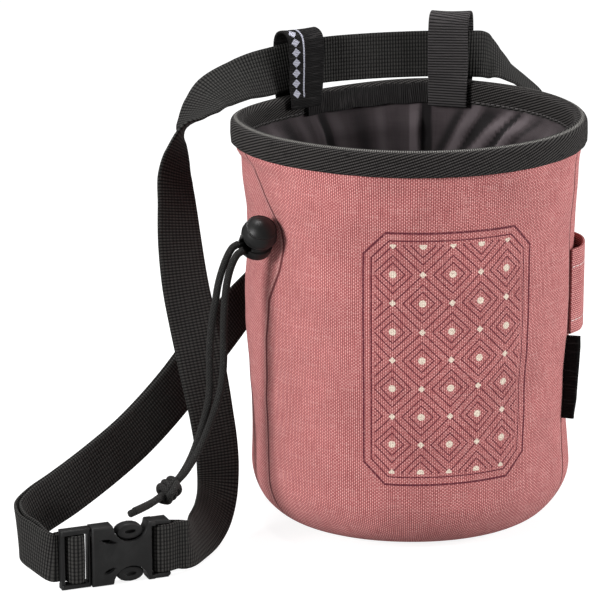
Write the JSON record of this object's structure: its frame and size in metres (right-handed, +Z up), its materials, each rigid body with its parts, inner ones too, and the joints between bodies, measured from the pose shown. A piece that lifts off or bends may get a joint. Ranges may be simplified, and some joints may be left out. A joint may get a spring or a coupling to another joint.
{
  "type": "climbing chalk bag",
  "caption": "Round rose fabric chalk bag with a dark bound rim, soft drawcord lining, sprung cord lock, belt loops, brush loop and a waist belt with side release buckle.",
  "frame": {"origin": "centre of the bag's round base, on the ground", "axes": "+Z up along the bag's axis, -Y towards the viewer at the front of the bag, +X to the side with the brush loop"},
  "size_m": [0.2321, 0.1878, 0.2005],
  "materials": {
    "shell_fabric": "woven melange, matt, with a printed ornament",
    "binding_tape": "twill tape, matt",
    "lining_fabric": "smooth soft cloth",
    "webbing": "woven webbing, matt",
    "loop_tape": "ribbed tape, matt",
    "buckle_plastic": "moulded, satin",
    "lock_plastic": "moulded, satin",
    "cord": "braided",
    "side_label": "dense woven tape"
  },
  "bodies": {
    "bag": {"shell": "shell_fabric", "base_panel": "shell_fabric", "rim_binding": "binding_tape", "lining": "lining_fabric", "lining_collar": "lining_fabric", "inner_tape": "loop_tape", "belt_loop_left": "loop_tape", "belt_loop_right": "loop_tape", "belt_webbing": "webbing", "buckle_socket": "buckle_plastic", "buckle_plug": "buckle_plastic", "lock_barrel": "lock_plastic", "drawcord_left": "cord", "drawcord_right": "cord", "cord_knot": "cord", "cord_tail_left": "cord", "cord_tail_right": "cord", "brush_loop": "shell_fabric", "side_tab": "side_label"},
    "button": {"lock_button": "lock_plastic"}
  },
  "joints": [
    {"name": "lock_press", "type": "slide", "parent": "bag", "child": "button", "axis": [-0.2408, 0.582, -0.7767], "range_m": [0, 0.003], "stiffness_N_per_m": 600}
  ]
}
